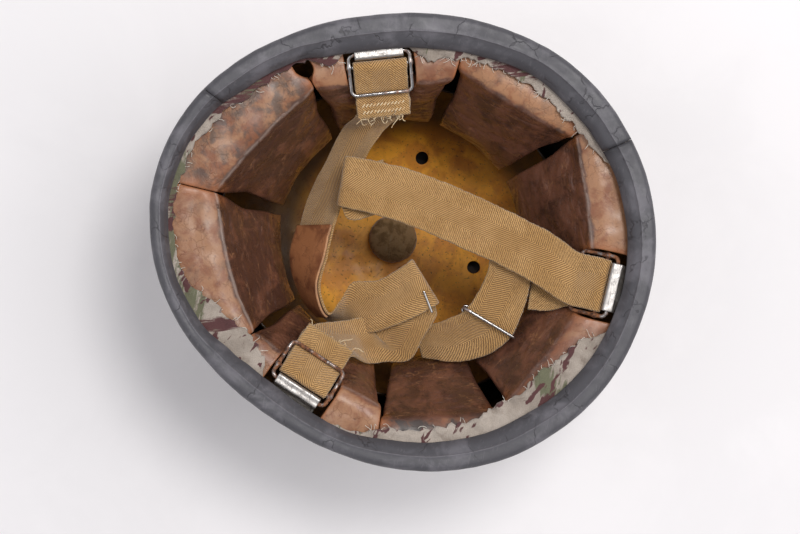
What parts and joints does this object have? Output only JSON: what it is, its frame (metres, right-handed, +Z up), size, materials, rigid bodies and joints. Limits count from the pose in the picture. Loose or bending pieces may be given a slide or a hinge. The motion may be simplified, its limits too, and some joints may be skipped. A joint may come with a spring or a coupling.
{
  "type": "paratrooper helmet",
  "caption": "Rimless steel bowl helmet in a cloth cover, with a rubber rim, a liner of padded leather fingers, a crown dome and a webbing chin harness on clips.",
  "frame": {"origin": "bottom centre of the bounding box, on the flattened crown that the helmet rests on", "axes": "+Z up, out of the opening; +X towards the wearer's back; +Y towards the wearer's left"},
  "size_m": [0.28, 0.2506, 0.165],
  "materials": {
    "painted_steel": "matt dark paint on pressed steel",
    "cover_cloth": "worn cotton camouflage cloth with a torn turned-in edge",
    "rim_rubber": "aged blue-grey rubber, satin",
    "dome_paint": "ochre varnish, mottled and rust stained",
    "pad_felt": "brown felt",
    "liner_leather": "worn dark brown leather, creased, rubbed pale at the bends",
    "clip_aluminium": "scratched bright sheet metal",
    "wire_steel": "plated wire, rust spotted",
    "webbing": "herringbone cotton webbing, stained, edges frayed",
    "strap_leather": "tan chamois leather with a stitched edge"
  },
  "bodies": {
    "root": {"steel_shell": "painted_steel", "cloth_cover": "cover_cloth", "rim_rubber_left": "rim_rubber", "rim_rubber_right": "rim_rubber", "crown_dome": "dome_paint", "crown_spacer": "rim_rubber", "crown_pad": "pad_felt", "liner_pad_left_1": "liner_leather", "liner_pad_left_2": "liner_leather", "liner_pad_left_3": "liner_leather", "liner_pad_left_4": "liner_leather", "liner_pad_left_5": "liner_leather", "liner_pad_right_5": "liner_leather", "liner_pad_right_4": "liner_leather", "liner_pad_right_3": "liner_leather", "liner_pad_right_2": "liner_leather", "liner_pad_right_1": "liner_leather", "strap_clip_rear": "clip_aluminium", "strap_clip_left": "clip_aluminium", "strap_clip_right": "clip_aluminium", "strap_ring_rear": "wire_steel", "strap_ring_left": "wire_steel", "strap_ring_right": "wire_steel", "chin_strap": "webbing", "chin_lining": "strap_leather", "rear_strap": "webbing", "branch_strap": "webbing", "strap_slide": "wire_steel", "fold_wire": "wire_steel"}
  },
  "joints": []
}
